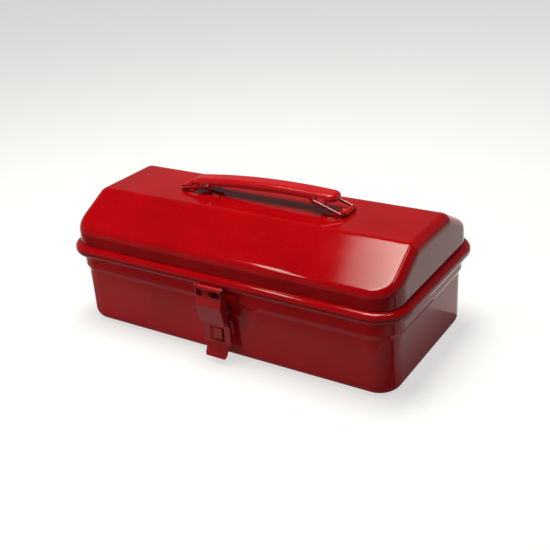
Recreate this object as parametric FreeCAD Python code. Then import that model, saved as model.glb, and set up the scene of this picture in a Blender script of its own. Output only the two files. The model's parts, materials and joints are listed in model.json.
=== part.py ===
"""Pressed-steel carrying box with a camber-top lid, two rear hinges, a front latch and a folding handle.

Units are millimetres.  X runs along the box to the right, Y to the back, Z up.
The origin is the middle of the flat base, on the surface that the box stands on.
"""
import FreeCAD, Part
import math
import os

Vector = FreeCAD.Vector
ORIGIN = Vector(0, 0, 0)
X_AXIS = Vector(1, 0, 0)
Y_AXIS = Vector(0, 1, 0)
Z_AXIS = Vector(0, 0, 1)

# Overall size: the lid's rolled rim sets the length and width.
OVERALL_LENGTH = 359.0
OVERALL_WIDTH = 182.0
LID_TOP_Z = 126.2
SHEET = 0.8

# Body tray.
BODY_HALF_X = 172.0
BODY_HALF_Y = 83.5
BODY_CORNER = 23.9
BODY_TOP_Z = 84.0
BODY_EDGE_RADIUS = 11.5
BODY_DRAFT_DEG = 0.2
STEP_LOW_Z = 56.0
STEP_HIGH_Z = 61.3
STEP_OUT = 2.2
HEM_LOW_Z = 78.5

# Lid: a hip-top shell above a rolled rim.
RIM_OUT = 6.3
RIM_RADIUS = 5.8
RIM_Z = 79.2
LID_HALF_X = OVERALL_LENGTH / 2 - RIM_OUT
LID_HALF_Y = OVERALL_WIDTH / 2 - RIM_OUT
LID_CORNER = 24.5
LID_EDGE_RADIUS = 10.2
LID_SPLIT_Z = 88.0
SLOPE_LOW_Z = 99.5
RIDGE_Y = 35.8
LID_DRAFT_DEG = 2.4
RIM_CENTRE_Y = OVERALL_WIDTH / 2 - RIM_RADIUS

# Rear hinges.
HINGE_X = {"left": -105.0, "right": 105.0}
HINGE_AXIS_Y = 86.5
HINGE_AXIS_Z = 70.1
LEAF_THICKNESS = 1.0
LEAF_HALF_WIDTH = 20.0
LEAF_LOW_Z = 61.6
LEAF_WRAP_DEG = 48.0
KNUCKLE_RADIUS = 2.6
HINGE_PIN_RADIUS = 1.5
LID_KNUCKLE_HALF = 6.7
KNUCKLE_GAP = 0.3
RUNNING_CLEARANCE = 0.06
BODY_LEAF_RIVET_Z = 64.3
LEAF_RIVET_X = (-14.0, 0.0, 14.0)

# Rivets: shank radius, head radius, head height, tail radius, tail height.
RIVET_SHANK = 1.5
RIVET_HEAD = 2.6
RIVET_HEAD_HEIGHT = 1.2
RIVET_TAIL = 1.9
RIVET_TAIL_HEIGHT = 0.8
RIM_RIVET_SLACK = 0.5

# Carrying handle: a pressed grip hung between two wire links that lie down towards the middle.
HANDLE_X = 2.5
LINK_PIVOT_OUT = 87.8
LINK_PIVOT_Z = LID_TOP_Z + 2.5
LINK_LENGTH = 31.2
LINK_REST_DEG = {"left": 10.8, "right": 18.4}
WIRE_RADIUS = 1.5
LINK_HALF_WIDTH = 11.5
WIRE_BEND = 2.2
HOOK_END_Y = 6.6
GRIP_HALF_LENGTH = 78.0
GRIP_HALF_WIDTH = 9.6
GRIP_SHEET = 1.0
GRIP_TOP_MIDDLE = 8.8
GRIP_TOP_END = 4.8
GRIP_LOW_MIDDLE = 1.8
GRIP_LOW_END = -1.0
GRIP_END_RADIUS = 7.0
GRIP_TOP_RADIUS = 4.4
EAR_INNER = 52.5
EAR_OUTER = 72.0
EAR_LOW = -3.9
EAR_CORNER = 3.0
SLOT_HALF_HEIGHT = 2.3
SLOT_TRAVEL = 8.6
SLOT_PLAY = 0.3
GRIP_BELLY = 0.3
GRIP_CAVITY_LOW = -20.0
BRACKET_HALF_WIDTH = 9.0
BRACKET_SHEET = 1.2
BRACKET_FOOT = 8.0
BRACKET_RIVET_Y = 4.6
BRACKET_CLEARANCE = 0.08

# Front latch: a hasp hung from the lid, with a lever that snaps over a keeper on the body.
LATCH_HALF_WIDTH = 12.2
LATCH_SHEET = 1.0
HASP_PIVOT = (-94.6, 76.8)
HASP_EYE_RADIUS = 2.8
LATCH_PIN_RADIUS = 1.2
LATCH_KNUCKLE_RADIUS = 2.2
HASP_EAR_GAP = 0.4
LATCH_WRAP_DEG = 84.0
PANEL_TOP_Z = 68.6
HASP_TOP_Z = 75.6
HASP_LIP_Z = 40.4
# Side outlines of the hasp and of its hollow: y, z and the rounding of each corner.
HASP_OUTLINE = [(-97.2, HASP_TOP_Z), (-96.4, PANEL_TOP_Z), (-99.2, 60.7, 2.4), (-96.4, 47.7, 8.0),
                (-94.2, HASP_LIP_Z, 1.2), (-92.4, 39.8), (-91.6, 44.6), (-89.6, 48.4, 2.0),
                (-84.9, 48.6, 2.2), (-91.9, HASP_TOP_Z)]
HASP_HOLLOW = [(-95.5, 82.0), (-95.4, PANEL_TOP_Z), (-98.1, 60.7, 1.4), (-95.4, 47.7, 8.0),
               (-93.4, 41.4), (-90.9, 40.7), (-70.0, 40.7), (-70.0, 82.0)]
HASP_LIP_REAR_Y = -92.3
PIN_HEAD_OUT = 0.8
PIN_HEAD_LENGTH = 0.7
PIN_END_PLAY = 0.3
LEVER_PIVOT = (-88.5, 53.1)
LEVER_KNUCKLE_RADIUS = 2.3
LEVER_FRONT_Y = -88.9
LEVER_HALF_WIDTH = 14.2
TAB_HALF_WIDTH = 11.6
TAB_CORNER = 4.5
TAB_TIP = (-95.1, 6.2)
TAB_BEND_Z = 18.0
LEVER_SIDE_LOW_Z = 18.6
LEVER_SIDE_HIGH_Z = 36.6
LEVER_SIDE_REAR_Y = -85.5
TAB_LIP = (0.9, -0.5)
WINDOW_HALF_WIDTH = 7.7
WINDOW_LOW_Z = 20.4
WINDOW_HIGH_Z = 35.4
KEEPER_HALF_WIDTH = 4.5
KEEPER_SHEET = 1.2
KEEPER_FOOT = 6.4
KEEPER_BEND = 0.8
KEEPER_NOSE_Y = -88.3
KEEPER_LOW_Z = 12.5
KEEPER_HIGH_Z = 47.0
KEEPER_NOSE_LOW_Z = 22.8
KEEPER_NOSE_HIGH_Z = 33.2
KEEPER_RIVET_Z = (15.6, 43.8)


def export(name, shape):
    """Write one node to its STEP file."""
    shape.exportStep("parts/" + name + ".step")


def join(shapes):
    """Fuse touching shapes into one clean shape."""
    return shapes[0].multiFuse(shapes[1:]).removeSplitter()


def group(shapes):
    """Keep separate solids together in one node."""
    return Part.makeCompound(shapes)


def moved(shape, x=0.0, y=0.0, z=0.0):
    """Return a copy of the shape, shifted."""
    copy = shape.copy()
    copy.translate(Vector(x, y, z))
    return copy


def box(x_range, y_range, z_range):
    """Return a block between two corners."""
    size = [high - low for low, high in (x_range, y_range, z_range)]
    return Part.makeBox(*size, Vector(x_range[0], y_range[0], z_range[0]))


def outline_face(points, place):
    """Return a flat face from corner points; a point with a third value has a rounded corner."""
    corners = [place(point[0], point[1]) for point in points]
    radii = [point[2] if len(point) > 2 else 0.0 for point in points]
    count = len(points)
    edges = []
    starts = []
    ends = []
    arcs = []
    for index in range(count):
        corner = corners[index]
        back = (corners[index - 1] - corner).normalize()
        ahead = (corners[(index + 1) % count] - corner).normalize()
        if radii[index] == 0:
            starts.append(corner)
            ends.append(corner)
            arcs.append(None)
            continue
        half_angle = back.getAngle(ahead) / 2
        run = radii[index] / math.tan(half_angle)
        middle = (back + ahead).normalize()
        centre = corner + middle * (radii[index] / math.sin(half_angle))
        starts.append(corner + back * run)
        ends.append(corner + ahead * run)
        arcs.append(Part.Arc(starts[-1], centre - middle * radii[index], ends[-1]))
    for index in range(count):
        if arcs[index] is not None:
            edges.append(arcs[index].toShape())
        following = starts[(index + 1) % count]
        if ends[index].distanceToPoint(following) > 1e-6:
            edges.append(Part.LineSegment(ends[index], following).toShape())
    return Part.Face(Part.Wire(edges))


def side_plate(points, half_width, x_middle=0.0):
    """Return a plate whose (y, z) outline is drawn from the side and which spans both ways in x."""
    face = outline_face(points, lambda y, z: Vector(x_middle - half_width, y, z))
    return face.extrude(Vector(2 * half_width, 0, 0))


def front_plate(points, y_low, y_high):
    """Return a plate whose (x, z) outline is drawn from the front."""
    face = outline_face(points, lambda x, z: Vector(x, y_low, z))
    return face.extrude(Vector(0, y_high - y_low, 0))


def x_cylinder(radius, half_width, y, z, x_middle=0.0):
    """Return a cylinder along x."""
    return Part.makeCylinder(radius, 2 * half_width, Vector(x_middle - half_width, y, z), X_AXIS)


def swept_ring(face, half_x, half_y, corner):
    """Carry a wall section round a rounded rectangle.

    The face lies in the XZ plane, and its x is measured outwards from the corner's own centre.
    """
    reach_x = half_x - corner
    reach_y = half_y - corner
    pieces = []
    for turn, out, along in ((0, reach_x, reach_y), (90, reach_y, reach_x),
                             (180, reach_x, reach_y), (270, reach_y, reach_x)):
        side = moved(face.extrude(Vector(0, 2 * along, 0)), out, -along)
        bend = moved(face.revolve(ORIGIN, Z_AXIS, 90), out, along)
        for piece in (side, bend):
            piece.rotate(ORIGIN, Z_AXIS, turn)
            pieces.append(piece)
    return pieces


def rivet(position, direction, grip):
    """Return a domed rivet whose head sits on the surface at position and faces along direction."""
    dome_radius = (RIVET_HEAD ** 2 + RIVET_HEAD_HEIGHT ** 2) / (2 * RIVET_HEAD_HEIGHT)
    lean = math.asin(RIVET_HEAD / dome_radius) / 2
    rim = Vector(RIVET_HEAD, 0, 0)
    crown = Vector(0, 0, RIVET_HEAD_HEIGHT)
    centre_z = RIVET_HEAD_HEIGHT - dome_radius
    middle = Vector(dome_radius * math.sin(lean), 0, centre_z + dome_radius * math.cos(lean))
    dome = Part.Wire([Part.Arc(rim, middle, crown).toShape(),
                      Part.LineSegment(crown, ORIGIN).toShape(),
                      Part.LineSegment(ORIGIN, rim).toShape()])
    head = Part.Face(dome).revolve(ORIGIN, Z_AXIS, 360)
    shank = Part.makeCylinder(RIVET_SHANK, grip, Vector(0, 0, -grip))
    tail = Part.makeCylinder(RIVET_TAIL, RIVET_TAIL_HEIGHT, Vector(0, 0, -grip - RIVET_TAIL_HEIGHT))
    whole = join([head, shank, tail])
    whole.Placement = FreeCAD.Placement(position, FreeCAD.Rotation(Z_AXIS, direction))
    return whole


def rivet_hole(position, direction):
    """Return the cutter for a rivet's hole."""
    reach = 5.0
    return Part.makeCylinder(RIVET_SHANK, 2 * reach, position - direction * reach, direction)


def wall_distance(z):
    """Return how far the tapered part of the body's wall stands out from the corner's centre."""
    return BODY_CORNER - STEP_OUT - (STEP_LOW_Z - z) * math.tan(math.radians(BODY_DRAFT_DEG))


def front_wall_y(z):
    """Return the y of the tapered front wall's outer face at height z."""
    return -(BODY_HALF_Y - BODY_CORNER + wall_distance(z))


def body_section():
    """Return the tray's wall section, from the floor at the corner's centre up to the hemmed rim."""
    lean = math.radians(BODY_DRAFT_DEG)
    drop = BODY_EDGE_RADIUS * (1 - math.sin(lean))
    centre = Vector(wall_distance(drop) - BODY_EDGE_RADIUS * math.cos(lean), 0, BODY_EDGE_RADIUS)

    def round_edge(radius):
        """Return the start, middle and end of the arc between floor and wall."""
        angles = (-math.pi / 2, -(math.pi / 2 + lean) / 2, -lean)
        return [centre + Vector(radius * math.cos(a), 0, radius * math.sin(a)) for a in angles]

    outer = round_edge(BODY_EDGE_RADIUS)
    inner = round_edge(BODY_EDGE_RADIUS - SHEET)
    step_outer = [Vector(wall_distance(STEP_LOW_Z), 0, STEP_LOW_Z),
                  Vector(BODY_CORNER, 0, STEP_HIGH_Z),
                  Vector(BODY_CORNER, 0, BODY_TOP_Z)]
    hem = Vector(BODY_CORNER - 2 * SHEET, 0, 0)
    step_inner = [Vector(hem.x, 0, BODY_TOP_Z),
                  Vector(hem.x, 0, HEM_LOW_Z),
                  Vector(BODY_CORNER - SHEET, 0, HEM_LOW_Z),
                  Vector(BODY_CORNER - SHEET, 0, STEP_HIGH_Z + SHEET / 4),
                  Vector(wall_distance(STEP_LOW_Z) - SHEET, 0, STEP_LOW_Z + SHEET / 4)]
    edges = [Part.LineSegment(ORIGIN, outer[0]).toShape(), Part.Arc(*outer).toShape()]
    up = [outer[2]] + step_outer + step_inner + [inner[2]]
    edges += [Part.LineSegment(a, b).toShape() for a, b in zip(up, up[1:])]
    edges.append(Part.Arc(inner[2], inner[1], inner[0]).toShape())
    floor_top = Vector(0, 0, SHEET)
    edges.append(Part.LineSegment(inner[0], floor_top).toShape())
    edges.append(Part.LineSegment(floor_top, ORIGIN).toShape())
    return Part.Face(Part.Wire(edges))


def body_shell(holes):
    """Return the tray: one drawn sheet with a stepped wall, round bottom edge and hemmed top."""
    reach_x = BODY_HALF_X - BODY_CORNER
    reach_y = BODY_HALF_Y - BODY_CORNER
    pieces = swept_ring(body_section(), BODY_HALF_X, BODY_HALF_Y, BODY_CORNER)
    pieces.append(box((-reach_x, reach_x), (-reach_y, reach_y), (0, SHEET)))
    return join(pieces).cut(holes)


def rim_section():
    """Return the lid's skirt and rolled rim, measured outwards from the corner's centre."""
    centre = Vector(LID_CORNER + RIM_OUT - RIM_RADIUS, 0, RIM_Z)
    inner_radius = RIM_RADIUS - SHEET
    wall_outer = LID_CORNER
    wall_inner = LID_CORNER - SHEET / math.cos(math.radians(LID_DRAFT_DEG))
    outer_top = RIM_Z + math.sqrt(RIM_RADIUS ** 2 - (wall_outer - centre.x) ** 2)
    inner_top = RIM_Z + math.sqrt(inner_radius ** 2 - (wall_inner - centre.x) ** 2)
    points = [Vector(wall_outer, 0, LID_SPLIT_Z), Vector(wall_outer, 0, outer_top),
              Vector(centre.x, 0, RIM_Z - RIM_RADIUS), Vector(centre.x, 0, RIM_Z - inner_radius),
              Vector(wall_inner, 0, inner_top), Vector(wall_inner, 0, LID_SPLIT_Z)]
    crest_outer = centre + Vector(RIM_RADIUS, 0, 0)
    crest_inner = centre + Vector(inner_radius, 0, 0)
    edges = [Part.LineSegment(points[0], points[1]).toShape(),
             Part.Arc(points[1], crest_outer, points[2]).toShape(),
             Part.LineSegment(points[2], points[3]).toShape(),
             Part.Arc(points[3], crest_inner, points[4]).toShape(),
             Part.LineSegment(points[4], points[5]).toShape(),
             Part.LineSegment(points[5], points[0]).toShape()]
    return Part.Face(Part.Wire(edges))


def lid_plan(gap):
    """Return the block between the lid's leaning walls, pulled in from them by gap."""
    lean = math.radians(LID_DRAFT_DEG)
    gap = gap / math.cos(lean)
    low_z = LID_SPLIT_Z - 2 * LID_EDGE_RADIUS
    high_z = LID_TOP_Z + LID_EDGE_RADIUS
    levels = []
    for z in (low_z, high_z):
        shrink = gap + (z - LID_SPLIT_Z) * math.tan(lean)
        levels.append((z, LID_CORNER - shrink))
    (low_z, low_radius), (high_z, high_radius) = levels
    height = high_z - low_z
    reach_x = LID_HALF_X - LID_CORNER
    reach_y = LID_HALF_Y - LID_CORNER
    pieces = []
    for x in (-reach_x, reach_x):
        for y in (-reach_y, reach_y):
            pieces.append(Part.makeCone(low_radius, high_radius, height, Vector(x, y, low_z)))
    for turn, reach, along in ((0, reach_x, reach_y), (90, reach_y, reach_x)):
        low = reach + low_radius
        high = reach + high_radius
        outline = [Vector(-low, -along, low_z), Vector(low, -along, low_z),
                   Vector(high, -along, high_z), Vector(-high, -along, high_z)]
        slab = Part.Face(Part.makePolygon(outline + outline[:1])).extrude(Vector(0, 2 * along, 0))
        slab.rotate(ORIGIN, Z_AXIS, turn)
        pieces.append(slab)
    return join(pieces)


def lid_form(inset):
    """Return the lid's solid hip-top form, with every edge rounded, pulled in by inset."""
    fall = (LID_TOP_Z - SLOPE_LOW_Z) / (LID_HALF_Y - RIDGE_Y)
    wide = LID_HALF_Y + LID_EDGE_RADIUS
    slope_end_z = SLOPE_LOW_Z - LID_EDGE_RADIUS * fall
    floor_z = LID_SPLIT_Z - 3 * LID_EDGE_RADIUS
    section = [(wide, floor_z), (wide, slope_end_z), (RIDGE_Y, LID_TOP_Z),
               (-RIDGE_Y, LID_TOP_Z), (-wide, slope_end_z), (-wide, floor_z)]
    wire = Part.makePolygon([Vector(0, y, z) for y, z in section + section[:1]])
    core_wire = wire.makeOffset2D(-LID_EDGE_RADIUS, 2)
    core = moved(Part.Face(core_wire).extrude(Vector(2 * LID_HALF_X, 0, 0)), -LID_HALF_X)
    return core.common(lid_plan(LID_EDGE_RADIUS)).makeOffsetShape(LID_EDGE_RADIUS - inset, 1e-3, join=0)


def lid_shell(holes):
    """Return the lid: a hip-top shell, open below, ending in a rolled rim."""
    room = 300.0
    above = box((-room, room), (-room, room), (LID_SPLIT_Z, room))
    crown = lid_form(0.0).cut(lid_form(SHEET)).common(above)
    rim = swept_ring(rim_section(), LID_HALF_X, LID_HALF_Y, LID_CORNER)
    return join([crown] + rim).cut(holes)


def rim_band(side, low_deg, high_deg, half_width, x_middle, thickness):
    """Return a strip that hugs the rolled rim between two angles; side is 1 at the back, -1 in front."""
    def at(radius, degrees):
        angle = math.radians(degrees)
        y = side * (RIM_CENTRE_Y + radius * math.cos(angle))
        return Vector(x_middle - half_width, y, RIM_Z + radius * math.sin(angle))

    inner = RIM_RADIUS
    outer = RIM_RADIUS + thickness
    middle = (low_deg + high_deg) / 2
    edges = [Part.Arc(at(outer, low_deg), at(outer, middle), at(outer, high_deg)).toShape(),
             Part.LineSegment(at(outer, high_deg), at(inner, high_deg)).toShape(),
             Part.Arc(at(inner, high_deg), at(inner, middle), at(inner, low_deg)).toShape(),
             Part.LineSegment(at(inner, low_deg), at(outer, low_deg)).toShape()]
    return Part.Face(Part.Wire(edges)).extrude(Vector(2 * half_width, 0, 0))


def body_leaf_rivet_points(x_middle):
    """Return where the body leaf's rivet heads sit."""
    return [Vector(x_middle + x, BODY_HALF_Y + LEAF_THICKNESS, BODY_LEAF_RIVET_Z) for x in LEAF_RIVET_X]


def lid_leaf_rivet_points(x_middle):
    """Return where the lid leaf's rivet heads sit, on the rim's crest."""
    return [Vector(x_middle + x, OVERALL_WIDTH / 2 + LEAF_THICKNESS, RIM_Z) for x in LEAF_RIVET_X]


def hinge(x_middle):
    """Return one rear hinge's leaves and pin."""
    outer_half = (LEAF_HALF_WIDTH - LID_KNUCKLE_HALF - KNUCKLE_GAP) / 2
    outer_middle = LEAF_HALF_WIDTH - outer_half
    plate_y = (BODY_HALF_Y, BODY_HALF_Y + LEAF_THICKNESS)
    below_knuckle = HINGE_AXIS_Z - KNUCKLE_RADIUS - 2 * KNUCKLE_GAP
    body_pieces = [box((x_middle - LEAF_HALF_WIDTH, x_middle + LEAF_HALF_WIDTH), plate_y,
                       (LEAF_LOW_Z, below_knuckle))]
    for side in (-1, 1):
        middle = x_middle + side * outer_middle
        body_pieces.append(x_cylinder(KNUCKLE_RADIUS, outer_half, HINGE_AXIS_Y, HINGE_AXIS_Z, middle))
        body_pieces.append(box((middle - outer_half, middle + outer_half), plate_y,
                               (below_knuckle, HINGE_AXIS_Z)))
    pin = x_cylinder(HINGE_PIN_RADIUS, LEAF_HALF_WIDTH, HINGE_AXIS_Y, HINGE_AXIS_Z, x_middle)
    cutters = [pin] + [rivet_hole(point, Y_AXIS) for point in body_leaf_rivet_points(x_middle)]
    body_leaf = join(body_pieces).cut(cutters)

    strap_outer = HINGE_AXIS_Y + KNUCKLE_RADIUS
    strap_inner = strap_outer - LEAF_THICKNESS
    rim_reach = strap_inner - RIM_CENTRE_Y
    strap_top = RIM_Z - math.sqrt(RIM_RADIUS ** 2 - rim_reach ** 2)
    strap_deg = math.degrees(math.acos(rim_reach / RIM_RADIUS))
    lid_pieces = [rim_band(1, -strap_deg, LEAF_WRAP_DEG, LEAF_HALF_WIDTH, x_middle, LEAF_THICKNESS),
                  box((x_middle - LID_KNUCKLE_HALF, x_middle + LID_KNUCKLE_HALF),
                      (strap_inner, strap_outer), (HINGE_AXIS_Z, strap_top)),
                  x_cylinder(KNUCKLE_RADIUS, LID_KNUCKLE_HALF, HINGE_AXIS_Y, HINGE_AXIS_Z, x_middle)]
    bore = x_cylinder(HINGE_PIN_RADIUS + RUNNING_CLEARANCE, LEAF_HALF_WIDTH,
                      HINGE_AXIS_Y, HINGE_AXIS_Z, x_middle)
    cutters = [bore] + [rivet_hole(point, Y_AXIS) for point in lid_leaf_rivet_points(x_middle)]
    lid_leaf = join(lid_pieces).cut(cutters)
    return body_leaf, lid_leaf, pin


def link_pivot(side):
    """Return the x of a wire link's pivot; side is -1 at the left and 1 at the right."""
    return HANDLE_X + side * LINK_PIVOT_OUT


def hook_point(name, side):
    """Return where a link's hooked ends sit when the handle lies at rest."""
    angle = math.radians(LINK_REST_DEG[name])
    x = link_pivot(side) - side * LINK_LENGTH * math.cos(angle)
    return Vector(x, 0, LINK_PIVOT_Z + LINK_LENGTH * math.sin(angle))


def wire_link(name, side):
    """Return one bent wire link: a crossbar in the bracket, two legs and two hooked ends."""
    corners = [Vector(LINK_LENGTH, -HOOK_END_Y, 0), Vector(LINK_LENGTH, -LINK_HALF_WIDTH, 0),
               Vector(0, -LINK_HALF_WIDTH, 0), Vector(0, LINK_HALF_WIDTH, 0),
               Vector(LINK_LENGTH, LINK_HALF_WIDTH, 0), Vector(LINK_LENGTH, HOOK_END_Y, 0)]
    pieces = []
    start = corners[0]
    for index in range(1, len(corners) - 1):
        corner = corners[index]
        back = (corners[index - 1] - corner).normalize()
        ahead = (corners[index + 1] - corner).normalize()
        arc_start = corner + back * WIRE_BEND
        centre = corner + (back + ahead) * WIRE_BEND
        pieces.append(Part.makeCylinder(WIRE_RADIUS, start.distanceToPoint(arc_start), start, back * -1))
        ring = Part.Face(Part.Wire(Part.makeCircle(WIRE_RADIUS, arc_start, back)))
        turn = 90 if back.cross(ahead).z < 0 else -90
        pieces.append(ring.revolve(centre, Z_AXIS, turn))
        start = corner + ahead * WIRE_BEND
    pieces.append(Part.makeCylinder(WIRE_RADIUS, start.distanceToPoint(corners[-1]), start,
                                    corners[-1] - start))
    link = join(pieces)
    link.rotate(ORIGIN, Y_AXIS, -LINK_REST_DEG[name])
    if side > 0:
        link.rotate(ORIGIN, Z_AXIS, 180)
    return moved(link, link_pivot(side), 0, LINK_PIVOT_Z)


def arch(points):
    """Return an arc edge through three (x, z) points."""
    return Part.Arc(*[Vector(x, 0, z) for x, z in points]).toShape()


def grip_block(inset, low_edge):
    """Return a solid bar with an arched top, round ends in plan and a rounded top edge."""
    half_x = GRIP_HALF_LENGTH - inset
    half_y = GRIP_HALF_WIDTH - inset
    top_end = GRIP_TOP_END - inset
    top_middle = GRIP_TOP_MIDDLE - inset
    top = arch([(-half_x, top_end), (0, top_middle), (half_x, top_end)])
    sides = [Part.LineSegment(Vector(half_x, 0, top_end), low_edge[-1]).toShape()]
    sides += [Part.LineSegment(a, b).toShape() for a, b in zip(low_edge[::-1], low_edge[-2::-1])]
    sides.append(Part.LineSegment(low_edge[0], Vector(-half_x, 0, top_end)).toShape())
    face = Part.Face(Part.Wire([top] + sides))
    bar = moved(face.extrude(Vector(0, 2 * half_y, 0)), 0, -half_y)
    upright = [edge for edge in bar.Edges
               if edge.BoundBox.XLength < 1e-6 and edge.BoundBox.YLength < 1e-6
               and abs(abs(edge.BoundBox.XMin) - half_x) < 1e-6]
    bar = bar.makeFillet(GRIP_END_RADIUS - inset, upright)
    crown = [edge for edge in bar.Edges if edge.BoundBox.ZMin > top_end - 0.2]
    return bar.makeFillet(GRIP_TOP_RADIUS - inset, crown)


def handle_grip(left_hook, right_hook):
    """Return the pressed channel that the hand holds, with a slotted ear at each end of both sides."""
    hook_half = left_hook.distanceToPoint(right_hook) / 2
    shoulder = GRIP_LOW_MIDDLE + (GRIP_LOW_END - GRIP_LOW_MIDDLE) * (EAR_INNER / GRIP_HALF_LENGTH) ** 2
    low_edge = [Vector(-GRIP_HALF_LENGTH, 0, GRIP_LOW_END), Vector(-EAR_OUTER, 0, GRIP_LOW_END),
                Vector(-EAR_OUTER + EAR_CORNER, 0, EAR_LOW), Vector(-EAR_INNER - EAR_CORNER, 0, EAR_LOW),
                Vector(-EAR_INNER, 0, shoulder), Vector(-EAR_INNER / 2, 0, GRIP_LOW_MIDDLE - GRIP_BELLY)]
    low_edge += [Vector(-point.x, 0, point.z) for point in low_edge[::-1]]
    outer = grip_block(0.0, low_edge)
    inner_half = GRIP_HALF_LENGTH - GRIP_SHEET
    cavity_low = [Vector(x, 0, GRIP_CAVITY_LOW) for x in (-inner_half, inner_half)]
    inner = grip_block(GRIP_SHEET, cavity_low)
    slots = []
    for side in (-1, 1):
        ends = [side * (hook_half - SLOT_PLAY), side * (hook_half + SLOT_TRAVEL)]
        reach = 2 * GRIP_HALF_WIDTH
        for x in ends:
            slots.append(Part.makeCylinder(SLOT_HALF_HEIGHT, 2 * reach, Vector(x, -reach, 0), Y_AXIS))
        slots.append(box((min(ends), max(ends)), (-reach, reach), (-SLOT_HALF_HEIGHT, SLOT_HALF_HEIGHT)))
    grip = outer.cut([inner] + slots)
    middle = (left_hook + right_hook) * 0.5
    tilt = math.degrees(math.atan2(right_hook.z - left_hook.z, right_hook.x - left_hook.x))
    grip.rotate(ORIGIN, Y_AXIS, -tilt)
    return moved(grip, middle.x, middle.y, middle.z)


def bracket_rivet_points(side):
    """Return where the rivet heads sit on a bracket's foot."""
    x = link_pivot(side) - side * (WIRE_RADIUS + BRACKET_SHEET + BRACKET_FOOT / 2)
    return [Vector(x, y, LID_TOP_Z + BRACKET_SHEET) for y in (-BRACKET_RIVET_Y, BRACKET_RIVET_Y)]


def handle_bracket(side):
    """Return a folded strap that holds a link's crossbar down on the lid."""
    bore = WIRE_RADIUS + BRACKET_CLEARANCE
    outer = bore + BRACKET_SHEET
    x = link_pivot(side)
    foot_end = x - side * (outer + BRACKET_FOOT)
    y_range = (-BRACKET_HALF_WIDTH, BRACKET_HALF_WIDTH)
    tube = Part.makeCylinder(outer, 2 * BRACKET_HALF_WIDTH, Vector(x, -BRACKET_HALF_WIDTH, LINK_PIVOT_Z),
                             Y_AXIS)
    block = box((x - outer, x + outer), y_range, (LID_TOP_Z, LINK_PIVOT_Z))
    foot = box((min(foot_end, x), max(foot_end, x)), y_range, (LID_TOP_Z, LID_TOP_Z + BRACKET_SHEET))
    above = box((x - outer, x + outer), y_range, (LID_TOP_Z, LINK_PIVOT_Z + outer))
    strap = join([tube.common(above), block, foot])
    channel = box((x - bore, x + bore), y_range, (LID_TOP_Z, LINK_PIVOT_Z))
    passage = Part.makeCylinder(bore, 2 * BRACKET_HALF_WIDTH,
                                Vector(x, -BRACKET_HALF_WIDTH, LINK_PIVOT_Z), Y_AXIS)
    holes = [rivet_hole(point, Z_AXIS) for point in bracket_rivet_points(side)]
    return strap.cut([channel, passage] + holes)


def latch_lid_bracket():
    """Return the folded strip under the rim that carries the hasp's pin in a rolled knuckle."""
    y, z = HASP_PIVOT
    ledge_top = z + LATCH_SHEET / 2
    rim_drop = RIM_Z - ledge_top
    rim_y = -(RIM_CENTRE_Y + math.sqrt(RIM_RADIUS ** 2 - rim_drop ** 2))
    drop_deg = math.degrees(math.asin(rim_drop / RIM_RADIUS))
    pieces = [x_cylinder(LATCH_KNUCKLE_RADIUS, LATCH_HALF_WIDTH, y, z),
              box((-LATCH_HALF_WIDTH, LATCH_HALF_WIDTH), (y, rim_y), (ledge_top - LATCH_SHEET, ledge_top)),
              rim_band(-1, -LATCH_WRAP_DEG, -drop_deg, LATCH_HALF_WIDTH, 0.0, LATCH_SHEET)]
    return join(pieces).cut(x_cylinder(LATCH_PIN_RADIUS, LATCH_HALF_WIDTH, y, z))


def headed_pin(pivot, half_width):
    """Return a latch pin with a flat head at each end."""
    pieces = [x_cylinder(LATCH_PIN_RADIUS, half_width, *pivot)]
    for side in (-1, 1):
        middle = side * (half_width + PIN_HEAD_LENGTH / 2)
        pieces.append(x_cylinder(LATCH_PIN_RADIUS + PIN_HEAD_OUT, PIN_HEAD_LENGTH / 2, *pivot, middle))
    return join(pieces)


def latch_hasp():
    """Return the hasp: a bulged front panel between two side ears that hang from the upper pin."""
    inside = LATCH_HALF_WIDTH + HASP_EAR_GAP
    outside = inside + LATCH_SHEET
    front_y = -110.0
    rear_y = -70.0
    block = join([side_plate(HASP_OUTLINE, outside), x_cylinder(HASP_EYE_RADIUS, outside, *HASP_PIVOT)])
    hollow = side_plate(HASP_HOLLOW, inside)
    gap = box((-inside, inside), (front_y, rear_y), (PANEL_TOP_Z, 90))
    below = box((-inside, inside), (HASP_LIP_REAR_Y, rear_y), (30, HASP_LIP_Z + LATCH_SHEET))
    bores = [x_cylinder(LATCH_PIN_RADIUS + RUNNING_CLEARANCE, outside, *HASP_PIVOT),
             x_cylinder(LATCH_PIN_RADIUS, outside, *LEVER_PIVOT)]
    shell = block.cut([hollow, gap, below] + bores)
    bends = []
    for edge in shell.Edges:
        extent = edge.BoundBox
        on_side = abs(abs(extent.XMin) - outside) < 1e-3 and extent.XLength < 1e-3
        on_front = extent.YMax < HASP_OUTLINE[4][0] + 0.3
        on_panel = HASP_LIP_Z - 0.1 < extent.ZMin and extent.ZMax < PANEL_TOP_Z + 0.1
        if on_side and on_front and on_panel:
            bends.append(edge)
    return shell.makeFillet(LATCH_SHEET * 0.9, bends)


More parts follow.
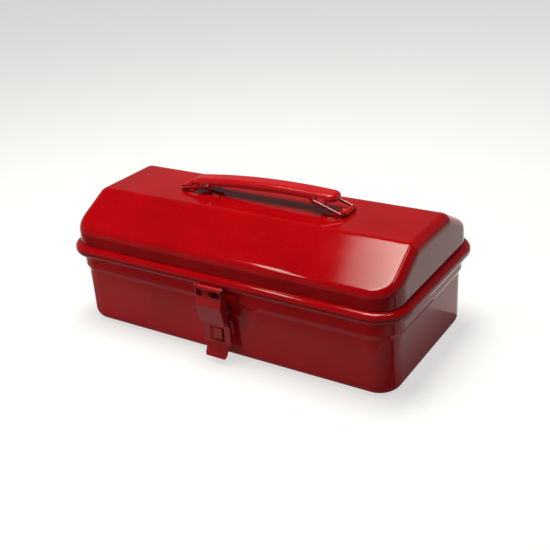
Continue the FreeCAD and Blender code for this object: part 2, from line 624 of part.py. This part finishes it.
def latch_lever():
    """Return the lever: a knuckle at the top, a window for the keeper and a flared finger tab."""
    front = LEVER_FRONT_Y
    back = front + LATCH_SHEET
    tip_y, tip_z = TAB_TIP
    top_z = LEVER_PIVOT[1] - 1
    profile = [(front, top_z), (front, TAB_BEND_Z, 4.0), (tip_y, tip_z),
               (tip_y + TAB_LIP[0], tip_z + TAB_LIP[1]), (back, TAB_BEND_Z - 0.5, 3.0), (back, top_z)]
    plate = side_plate(profile, LEVER_HALF_WIDTH)
    narrow = LATCH_HALF_WIDTH
    right = [(narrow, 56.0), (narrow, 39.4, 1.0), (LEVER_HALF_WIDTH, LEVER_SIDE_HIGH_Z, 2.0),
             (LEVER_HALF_WIDTH, LEVER_SIDE_LOW_Z, 1.5), (TAB_HALF_WIDTH, 16.0, 2.0),
             (TAB_HALF_WIDTH, tip_z - 1.0, TAB_CORNER)]
    left = [(-point[0],) + point[1:] for point in right[::-1]]
    plate = plate.common(front_plate(right + left, -100, -70))
    returns = []
    for side in (-1, 1):
        outer = side * LEVER_HALF_WIDTH
        inner = side * (LEVER_HALF_WIDTH - LATCH_SHEET)
        low_z = LEVER_SIDE_LOW_Z + 1.5
        high_z = LEVER_SIDE_HIGH_Z - 1.5
        returns.append(box((min(inner, outer), max(inner, outer)), (front + 0.3, LEVER_SIDE_REAR_Y),
                           (low_z, high_z)))
    knuckle = x_cylinder(LEVER_KNUCKLE_RADIUS, LATCH_HALF_WIDTH, *LEVER_PIVOT)
    window = [(-WINDOW_HALF_WIDTH, WINDOW_LOW_Z, 1.0), (WINDOW_HALF_WIDTH, WINDOW_LOW_Z, 1.0),
              (WINDOW_HALF_WIDTH, WINDOW_HIGH_Z, 1.0), (-WINDOW_HALF_WIDTH, WINDOW_HIGH_Z, 1.0)]
    bore = x_cylinder(LATCH_PIN_RADIUS + RUNNING_CLEARANCE, LATCH_HALF_WIDTH, *LEVER_PIVOT)
    return join([plate, knuckle] + returns).cut([front_plate(window, -95, -75), bore])


def wall_direction():
    """Return the outward direction of the tapered front wall."""
    lean = math.radians(BODY_DRAFT_DEG)
    return Vector(0, -math.cos(lean), -math.sin(lean))


def keeper_rivet_points():
    """Return where the keeper's rivet heads sit."""
    return [Vector(0, front_wall_y(z), z) + wall_direction() * KEEPER_SHEET for z in KEEPER_RIVET_Z]


def latch_keeper():
    """Return the keeper: a strap on the front wall with a raised nose that fills the lever's window."""
    nose_back = KEEPER_NOSE_Y + KEEPER_SHEET
    step = wall_direction() * KEEPER_SHEET

    def on_wall(z):
        """Return the (y, z) of the wall's face at height z."""
        return (front_wall_y(z), z)

    def off_wall(z):
        """Return the (y, z) one sheet out from the wall at height z."""
        point = Vector(0, front_wall_y(z), z) + step
        return (point.y, point.z)

    low_foot = KEEPER_LOW_Z + KEEPER_FOOT
    high_foot = KEEPER_HIGH_Z - KEEPER_FOOT
    profile = [off_wall(KEEPER_LOW_Z), off_wall(low_foot), (KEEPER_NOSE_Y, KEEPER_NOSE_LOW_Z),
               (KEEPER_NOSE_Y, KEEPER_NOSE_HIGH_Z), off_wall(high_foot), off_wall(KEEPER_HIGH_Z),
               on_wall(KEEPER_HIGH_Z), on_wall(high_foot - KEEPER_BEND),
               (nose_back, KEEPER_NOSE_HIGH_Z - KEEPER_BEND), (nose_back, KEEPER_NOSE_LOW_Z + KEEPER_BEND),
               on_wall(low_foot + KEEPER_BEND), on_wall(KEEPER_LOW_Z)]
    strap = side_plate(profile, KEEPER_HALF_WIDTH)
    return strap.cut([rivet_hole(point, wall_direction()) for point in keeper_rivet_points()])


def main():
    os.makedirs("parts", exist_ok=True)
    body_holes = [rivet_hole(point, wall_direction()) for point in keeper_rivet_points()]
    lid_holes = []
    keeper_stack = KEEPER_SHEET + SHEET
    body_leaf_stack = LEAF_THICKNESS + SHEET
    lid_leaf_stack = LEAF_THICKNESS + SHEET + RIM_RIVET_SLACK
    bracket_stack = BRACKET_SHEET + SHEET

    for name, x_middle in HINGE_X.items():
        body_leaf, lid_leaf, pin = hinge(x_middle)
        export("hinge_" + name + "_body_leaf", body_leaf)
        export("hinge_" + name + "_lid_leaf", lid_leaf)
        export("hinge_" + name + "_pin", pin)
        body_points = body_leaf_rivet_points(x_middle)
        lid_points = lid_leaf_rivet_points(x_middle)
        export("hinge_" + name + "_body_rivets",
               group([rivet(point, Y_AXIS, body_leaf_stack) for point in body_points]))
        export("hinge_" + name + "_lid_rivets",
               group([rivet(point, Y_AXIS, lid_leaf_stack) for point in lid_points]))
        body_holes += [rivet_hole(point, Y_AXIS) for point in body_points]
        lid_holes += [rivet_hole(point, Y_AXIS) for point in lid_points]

    for name, side in (("left", -1), ("right", 1)):
        points = bracket_rivet_points(side)
        export("handle_link_" + name, wire_link(name, side))
        export("handle_bracket_" + name, handle_bracket(side))
        export("handle_rivets_" + name, group([rivet(point, Z_AXIS, bracket_stack) for point in points]))
        lid_holes += [rivet_hole(point, Z_AXIS) for point in points]
    export("handle_grip", handle_grip(hook_point("left", -1), hook_point("right", 1)))

    pin_half = LATCH_HALF_WIDTH + HASP_EAR_GAP + LATCH_SHEET
    export("latch_lid_bracket", latch_lid_bracket())
    export("latch_hasp_pin", headed_pin(HASP_PIVOT, pin_half + PIN_END_PLAY))
    export("latch_hasp", latch_hasp())
    export("latch_lever_pin", headed_pin(LEVER_PIVOT, pin_half))
    export("latch_lever", latch_lever())
    export("latch_keeper", latch_keeper())
    export("latch_keeper_rivets",
           group([rivet(point, wall_direction(), keeper_stack) for point in keeper_rivet_points()]))

    export("body_shell", body_shell(body_holes))
    export("lid_shell", lid_shell(lid_holes))


main()
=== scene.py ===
"""Looks of a red enamelled steel carrying box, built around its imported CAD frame.

Units are metres and degrees.  X runs along the box to the right, Y to the back, Z up.
"""
import json
import math

import bpy
from mathutils import Matrix, Vector

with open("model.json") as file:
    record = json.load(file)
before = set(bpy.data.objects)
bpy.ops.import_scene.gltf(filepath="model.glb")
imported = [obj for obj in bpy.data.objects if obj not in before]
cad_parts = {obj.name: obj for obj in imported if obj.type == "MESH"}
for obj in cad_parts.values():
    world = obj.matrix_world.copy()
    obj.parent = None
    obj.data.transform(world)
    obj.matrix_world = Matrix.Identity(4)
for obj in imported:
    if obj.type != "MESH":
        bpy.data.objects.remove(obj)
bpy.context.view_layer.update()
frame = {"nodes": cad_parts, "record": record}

# Camera: the point it looks at, from where, how it is rolled, and its lens in millimetres.
CAMERA_TARGET = Vector((0.0001, 0.0113, 0.0418))
CAMERA_AZIMUTH = 33.83
CAMERA_ELEVATION = 26.44
CAMERA_ROLL = -4.04
CAMERA_DISTANCE = 0.8608
CAMERA_LENS = 57.16
SENSOR_WIDTH = 36.0

# Floor.
FLOOR_RADIUS = 6.0
FLOOR_SIDES = 96
FLOOR_COLOUR = (0.34, 0.34, 0.34, 1.0)
FLOOR_ROUGHNESS = 0.9
FLOOR_SPECULAR = 0.1
FLOOR_GLOW = 0.62

# Glowing sheets that only the gloss sees, lying on the floor in front and at the right. They paint the
# floor that the walls mirror (a painted reflection), dark next to the box as a painted contact shadow.
# Listed are their x and y spans, the axis along which their brightness changes, and the brightness at
# places along it.
PAINTED_REFLECTION_SHEETS = {
    "painted_reflection_front": ((-1.5, 1.5), (-1.5, -0.065), "Y",
                     ((-0.186, 0.10), (-0.140, 0.55), (-0.105, 0.42), (-0.080, 0.12))),
    "painted_reflection_right": ((0.150, 1.5), (-0.065, 0.0835), "X",
                     ((0.165, 0.05), (0.190, 0.35), (0.218, 0.82))),
}
SHEET_LIFT = 0.0004
UNSEEN_BY = ("camera", "diffuse", "shadow", "transmission", "volume_scatter")

# Brightness of the surroundings by height, from straight down (-1) to straight up (1).
SURROUNDINGS = ((-1.0, 0.30), (0.0, 0.30), (0.30, 0.19), (0.45, 0.15), (0.65, 0.04), (1.0, 0.01))

# Overhead softbox: its span in x, its fading left part, its depth in y, its place and its brightness.
SOFTBOX_X = (-0.375, 0.205)
SOFTBOX_FADE = 0.13
SOFTBOX_DEPTH = 0.70
SOFTBOX_PLACE_Y = 0.02
SOFTBOX_Z = 1.12
SOFTBOX_GLOW = 14.6
# Low fill light from the front left, which the gloss doesn't see.
FILL_PLACE = (-1.00, -1.10, 0.60)
FILL_AIM = (0.0, 0.0, 0.05)
FILL_SIZE = (0.4, 0.4)
FILL_GLOW = 13.0
# Small overhead lamps that draw the sharp highlights on corners and on the grip: place, size and glow.
SMALL_LAMPS = (("corner_lamp", (0.46, 0.0, 1.12), (0.04, 0.45), 16.0),
               ("grip_lamp", (-0.55, -0.38, 1.12), (0.07, 0.50), 14.0))
LIGHT_COLOUR = (1.0, 0.97, 0.86)

# Colours, linear: the enamels, the steel of the pins, the dust on the enamel and its chipped edges.
# The reds stand for one enamel. Their brightness is set part by part as painted light and shade,
# lightest on the body walls and darkest on the wire links, with the latch darkened as painted shade under
# the rim.
LID_RED = (0.325, 0.0010, 0.0030)
BODY_RED = (0.49, 0.0020, 0.0060)
HANDLE_RED = (0.42, 0.0030, 0.0060)
LATCH_RED = (0.42, 0.0040, 0.0080)
LINK_RED = (0.20, 0.0020, 0.0040)
PIN_STEEL = (0.45, 0.36, 0.34)
DUST = (0.34, 0.10, 0.09)
CHIPPED = (0.055, 0.022, 0.018)

# Noise patterns: features per metre, levels of detail and how strong the finer levels are.
THIN_PATCHES = (22.0, 3.0, 0.5)
DUST_SPECKS = (700.0, 3.0, 0.5)
EDGE_CHIPS = (450.0, 4.0, 0.7)
GLOSS_SMUDGES = (35.0, 5.0, 0.6)
SLOW_WAVES = (9.0, 1.0, 0.5)
ORANGE_PEEL = (900.0, 2.0, 0.5)
STEEL_PATCHES = (300.0, 4.0, 0.5)
STEEL_SMUDGES = (500.0, 4.0, 0.5)
STEEL_SCUFFS = (2500.0, 3.0, 0.5)

# The span of a pattern's value over which its effect comes in.
PATCH_SPAN = (0.3, 0.7)
DUST_SPAN = (0.62, 0.75)
CHIP_SPAN = (0.42, 0.60)
# How much dust a speck holds, and the share of the colour left where the enamel is thin or the steel dull.
DUST_SHARE = 0.12
THIN_SHARE = 0.82
DULL_SHARE = 0.6
# How far smudges lower and raise the roughness.
ENAMEL_SMUDGING = (0.7, 1.6)
STEEL_SMUDGING = (0.7, 1.5)
# Heights of the bumps, with the strength of the fine ones.
WAVE_HEIGHT = 0.0006
LID_WAVE_HEIGHT = 0.0008
PEEL_HEIGHT = 0.00001
PEEL_STRENGTH = 0.6
SCUFF_HEIGHT = 0.000008
SCUFF_STRENGTH = 0.5
# Worn edges: their width, the rays that find them, and how alike the rounded and the true normal are
# at the middle and at the border of the worn strip.
EDGE_WIDTH = 0.0007
EDGE_RAYS = 6
EDGE_SPAN = (0.90, 0.995)

# The enamels, by the record's slot name; their colours carry the painted light and shade of each part.
ENAMELS = {
    "body_enamel": {"colour": BODY_RED, "roughness": 0.10, "ior": 1.33},
    "lid_enamel": {"colour": LID_RED, "roughness": 0.06, "ior": 1.37, "wave": LID_WAVE_HEIGHT},
    "handle_enamel": {"colour": HANDLE_RED, "roughness": 0.15, "ior": 1.40, "wear": 0.35},
    "latch_enamel": {"colour": LATCH_RED, "roughness": 0.22, "ior": 1.44, "wear": 0.6},
    "hinge_enamel": {"colour": BODY_RED, "roughness": 0.15, "ior": 1.36, "wear": 0.5},
    "rivet_enamel": {"colour": BODY_RED, "roughness": 0.15, "ior": 1.36, "wear": 0.3},
    "link_enamel": {"colour": LINK_RED, "roughness": 0.09, "ior": 1.55},
}
PIN_ROUGHNESS = 0.30


def new_material(name):
    """Return an empty node material, its tree and its Principled shader."""
    material = bpy.data.materials.new(name)
    material.use_nodes = True
    tree = material.node_tree
    tree.nodes.clear()
    output = tree.nodes.new("ShaderNodeOutputMaterial")
    shader = tree.nodes.new("ShaderNodeBsdfPrincipled")
    tree.links.new(shader.outputs["BSDF"], output.inputs["Surface"])
    return material, tree, shader


def add_object(name, data):
    """Make an object of mesh, light or camera data and put it in the scene."""
    thing = bpy.data.objects.new(name, data)
    bpy.context.scene.collection.objects.link(thing)
    return thing


def noise(tree, pattern):
    """Add a noise texture on the object's own coordinates and return its factor."""
    scale, detail, rough = pattern
    place = tree.nodes.new("ShaderNodeTexCoord")
    texture = tree.nodes.new("ShaderNodeTexNoise")
    texture.inputs["Scale"].default_value = scale
    texture.inputs["Detail"].default_value = detail
    texture.inputs["Roughness"].default_value = rough
    tree.links.new(place.outputs["Object"], texture.inputs["Vector"])
    return texture.outputs["Fac"]


def spread(tree, factor, low, high, span=PATCH_SPAN):
    """Map a factor's span onto low to high."""
    mapping = tree.nodes.new("ShaderNodeMapRange")
    mapping.inputs["From Min"].default_value = span[0]
    mapping.inputs["From Max"].default_value = span[1]
    mapping.inputs["To Min"].default_value = low
    mapping.inputs["To Max"].default_value = high
    tree.links.new(factor, mapping.inputs["Value"])
    return mapping.outputs["Result"]


def coordinate(tree, vector, axis):
    """Return one coordinate of a vector."""
    split = tree.nodes.new("ShaderNodeSeparateXYZ")
    tree.links.new(vector, split.inputs["Vector"])
    return split.outputs[axis]


def grey_along(tree, place, stops):
    """Return a grey that follows pairs of place and brightness."""
    start = stops[0][0]
    end = stops[-1][0]
    ramp = tree.nodes.new("ShaderNodeValToRGB")
    tree.links.new(spread(tree, place, 0.0, 1.0, (start, end)), ramp.inputs["Fac"])
    elements = ramp.color_ramp.elements
    while len(elements) < len(stops):
        elements.new(0.5)
    for element, (where, glow) in zip(elements, stops):
        element.position = (where - start) / (end - start)
        element.color = (glow, glow, glow, 1.0)
    return ramp.outputs["Color"]


def blend_colours(tree, factor, first, second):
    """Mix two colours, each given as numbers or as a node's output, by a factor."""
    mix = tree.nodes.new("ShaderNodeMix")
    mix.data_type = "RGBA"
    tree.links.new(factor, mix.inputs["Factor"])
    for name, value in (("A", first), ("B", second)):
        target = [socket for socket in mix.inputs if socket.name == name and socket.type == "RGBA"][0]
        if hasattr(value, "is_output"):
            tree.links.new(value, target)
        else:
            target.default_value = (*value, 1.0)
    return [socket for socket in mix.outputs if socket.type == "RGBA"][0]


def bump(tree, height, distance, strength, normal=None):
    """Add a bump, on top of another one if its normal is given, and return its normal."""
    node = tree.nodes.new("ShaderNodeBump")
    node.inputs["Distance"].default_value = distance
    node.inputs["Strength"].default_value = strength
    tree.links.new(height, node.inputs["Height"])
    if normal is not None:
        tree.links.new(normal, node.inputs["Normal"])
    return node.outputs["Normal"]


def edge_mask(tree):
    """Return a factor that is 0 on open faces and grows along sharp edges."""
    bevel = tree.nodes.new("ShaderNodeBevel")
    bevel.samples = EDGE_RAYS
    bevel.inputs["Radius"].default_value = EDGE_WIDTH
    surface = tree.nodes.new("ShaderNodeNewGeometry")
    likeness = tree.nodes.new("ShaderNodeVectorMath")
    likeness.operation = "DOT_PRODUCT"
    tree.links.new(bevel.outputs["Normal"], likeness.inputs[0])
    tree.links.new(surface.outputs["Normal"], likeness.inputs[1])
    return spread(tree, likeness.outputs["Value"], 1.0, 0.0, EDGE_SPAN)


def product(tree, first, second):
    """Multiply two factors."""
    node = tree.nodes.new("ShaderNodeMath")
    node.operation = "MULTIPLY"
    tree.links.new(first, node.inputs[0])
    tree.links.new(second, node.inputs[1])
    return node.outputs["Value"]


def darker(colour, share):
    """Scale a colour down to a share of itself."""
    return tuple(share * channel for channel in colour)


def smudged(tree, pattern, roughness, smudging):
    """Return a roughness that varies around a middle value."""
    low, high = smudging
    return spread(tree, noise(tree, pattern), roughness * low, roughness * high)


def enamel(name, colour, roughness, ior, wave=WAVE_HEIGHT, wear=0.0):
    """Glossy baked enamel over pressed steel.

    It has faint orange peel, the slow waves of thin sheet, patches where the coat is thinner, fine
    dust, smudges in the gloss and, where it is handled, dark chipped edges.
    """
    material, tree, shader = new_material(name)
    patches = spread(tree, noise(tree, THIN_PATCHES), 0.0, 1.0)
    tint = blend_colours(tree, patches, colour, darker(colour, THIN_SHARE))
    specks = spread(tree, noise(tree, DUST_SPECKS), 0.0, DUST_SHARE, DUST_SPAN)
    tint = blend_colours(tree, specks, tint, DUST)
    if wear > 0:
        chips = spread(tree, noise(tree, EDGE_CHIPS), 0.0, wear, CHIP_SPAN)
        tint = blend_colours(tree, product(tree, edge_mask(tree), chips), tint, CHIPPED)
    tree.links.new(tint, shader.inputs["Base Color"])
    smudges = smudged(tree, GLOSS_SMUDGES, roughness, ENAMEL_SMUDGING)
    tree.links.new(smudges, shader.inputs["Roughness"])
    shader.inputs["IOR"].default_value = ior
    waves = bump(tree, noise(tree, SLOW_WAVES), wave, 1.0)
    peel = bump(tree, noise(tree, ORANGE_PEEL), PEEL_HEIGHT, PEEL_STRENGTH, waves)
    tree.links.new(peel, shader.inputs["Normal"])
    return material


def metal(name, colour, roughness):
    """Bare steel with dull patches and fine scuffs."""
    material, tree, shader = new_material(name)
    patches = spread(tree, noise(tree, STEEL_PATCHES), 0.0, 1.0)
    tint = blend_colours(tree, patches, colour, darker(colour, DULL_SHARE))
    tree.links.new(tint, shader.inputs["Base Color"])
    smudges = smudged(tree, STEEL_SMUDGES, roughness, STEEL_SMUDGING)
    tree.links.new(smudges, shader.inputs["Roughness"])
    scuffs = bump(tree, noise(tree, STEEL_SCUFFS), SCUFF_HEIGHT, SCUFF_STRENGTH)
    tree.links.new(scuffs, shader.inputs["Normal"])
    shader.inputs["Metallic"].default_value = 1.0
    return material


def make_materials():
    """Make every finish, by the record's slot name."""
    finishes = {slot: enamel(slot, **look) for slot, look in ENAMELS.items()}
    finishes["pin_steel"] = metal("pin_steel", PIN_STEEL, PIN_ROUGHNESS)
    return finishes


def dress(obj, material):
    """Give an object one material through its own slot, so that the mesh stays as it is."""
    if not obj.material_slots:
        obj.data.materials.append(None)
    for slot in obj.material_slots:
        slot.link = "OBJECT"
        slot.material = material


def make_floor():
    """A plain pale floor; its bounce onto the walls comes from the surroundings instead."""
    bpy.ops.mesh.primitive_circle_add(vertices=FLOOR_SIDES, radius=FLOOR_RADIUS, fill_type="NGON")
    floor = bpy.context.object
    floor.name = "floor"
    material, _, shader = new_material("floor_paper")
    shader.inputs["Base Color"].default_value = FLOOR_COLOUR
    shader.inputs["Roughness"].default_value = FLOOR_ROUGHNESS
    shader.inputs["Specular IOR Level"].default_value = FLOOR_SPECULAR
    shader.inputs["Emission Color"].default_value = (1.0, 1.0, 1.0, 1.0)
    shader.inputs["Emission Strength"].default_value = FLOOR_GLOW
    floor.data.materials.append(material)
    floor.visible_diffuse = False


def make_painted_reflection_sheet(name, x_span, y_span, axis, glows):
    """Lay down a glowing sheet that sets what the walls mirror from the floor beside them: a painted
    reflection, whose glows paint the shade next to the box.
    """
    left, right = x_span
    front, back = y_span
    corners = [(left, front), (right, front), (right, back), (left, back)]
    mesh = bpy.data.meshes.new(name)
    mesh.from_pydata([(x, y, SHEET_LIFT) for x, y in corners], [], [(0, 1, 2, 3)])
    sheet = add_object(name, mesh)
    material, tree, shader = new_material(name)
    shader.inputs["Base Color"].default_value = (0.0, 0.0, 0.0, 1.0)
    shader.inputs["Specular IOR Level"].default_value = 0.0
    shader.inputs["Emission Strength"].default_value = 1.0
    place = tree.nodes.new("ShaderNodeTexCoord")
    grey = grey_along(tree, coordinate(tree, place.outputs["Object"], axis), glows)
    tree.links.new(grey, shader.inputs["Emission Color"])
    mesh.materials.append(material)
    for rays in UNSEEN_BY:
        setattr(sheet, "visible_" + rays, False)


def make_world():
    """Soft studio surroundings: grey up to the horizon, and darker towards the ceiling."""
    world = bpy.data.worlds.new("studio")
    bpy.context.scene.world = world
    world.use_nodes = True
    tree = world.node_tree
    place = tree.nodes.new("ShaderNodeTexCoord")
    grey = grey_along(tree, coordinate(tree, place.outputs["Generated"], "Z"), SURROUNDINGS)
    tree.links.new(grey, tree.nodes["Background"].inputs["Color"])


def area_light(name, place, size, glow, aim=None):
    """Add a rectangular soft light of a given brightness, which shines down if it has no aim."""
    if aim is None:
        aim = (place[0], place[1], 0.0)
    data = bpy.data.lights.new(name, "AREA")
    data.shape = "RECTANGLE"
    data.size = size[0]
    data.size_y = size[1]
    data.energy = glow * math.pi * size[0] * size[1]
    data.color = LIGHT_COLOUR
    light = add_object(name, data)
    light.location = place
    light.rotation_euler = (Vector(aim) - Vector(place)).to_track_quat("-Z", "Y").to_euler()
    return light


def fade_softbox(light, share):
    """Let the light's brightness grow from nothing at its left edge over a share of its width."""
    light.data.use_nodes = True
    tree = light.data.node_tree
    place = tree.nodes.new("ShaderNodeNewGeometry")
    across = coordinate(tree, place.outputs["Parametric"], "X")
    rise = spread(tree, across, 0.0, 1.0, (0.0, share))
    tree.links.new(rise, tree.nodes["Emission"].inputs["Strength"])


def make_lights():
    """An overhead softbox that fades to the left, a low fill from the front left, and small lamps."""
    left, right = SOFTBOX_X
    width = right - left
    place = ((left + right) / 2, SOFTBOX_PLACE_Y, SOFTBOX_Z)
    softbox = area_light("softbox", place, (width, SOFTBOX_DEPTH), SOFTBOX_GLOW)
    fade_softbox(softbox, SOFTBOX_FADE / width)
    fill = area_light("fill", FILL_PLACE, FILL_SIZE, FILL_GLOW, FILL_AIM)
    fill.visible_glossy = False
    for lamp in SMALL_LAMPS:
        area_light(*lamp)


def make_camera():
    """Put the camera in front of the box, to its right and above it."""
    azimuth = math.radians(CAMERA_AZIMUTH)
    elevation = math.radians(CAMERA_ELEVATION)
    roll = math.radians(CAMERA_ROLL)
    back = Vector((math.sin(azimuth) * math.cos(elevation),
                   -math.cos(azimuth) * math.cos(elevation),
                   math.sin(elevation)))
    level = Vector((math.cos(azimuth), math.sin(azimuth), 0.0))
    upright = back.cross(level)
    right = level * math.cos(roll) + upright * math.sin(roll)
    up = upright * math.cos(roll) - level * math.sin(roll)
    data = bpy.data.cameras.new("camera")
    data.lens = CAMERA_LENS
    data.sensor_width = SENSOR_WIDTH
    camera = add_object("camera", data)
    turn = Matrix((right, up, back)).transposed()
    camera.matrix_world = Matrix.Translation(CAMERA_TARGET + back * CAMERA_DISTANCE) @ turn.to_4x4()
    bpy.context.scene.camera = camera


materials = make_materials()
slots = {part["node"]: part["material_slot"] for part in frame["record"]["subparts"]}
for node_name, node in frame["nodes"].items():
    dress(node, materials[slots[node_name]])
make_floor()
for sheet_name, sheet_plan in PAINTED_REFLECTION_SHEETS.items():
    make_painted_reflection_sheet(sheet_name, *sheet_plan)
make_world()
make_lights()
make_camera()
bpy.context.scene.view_settings.view_transform = "Standard"
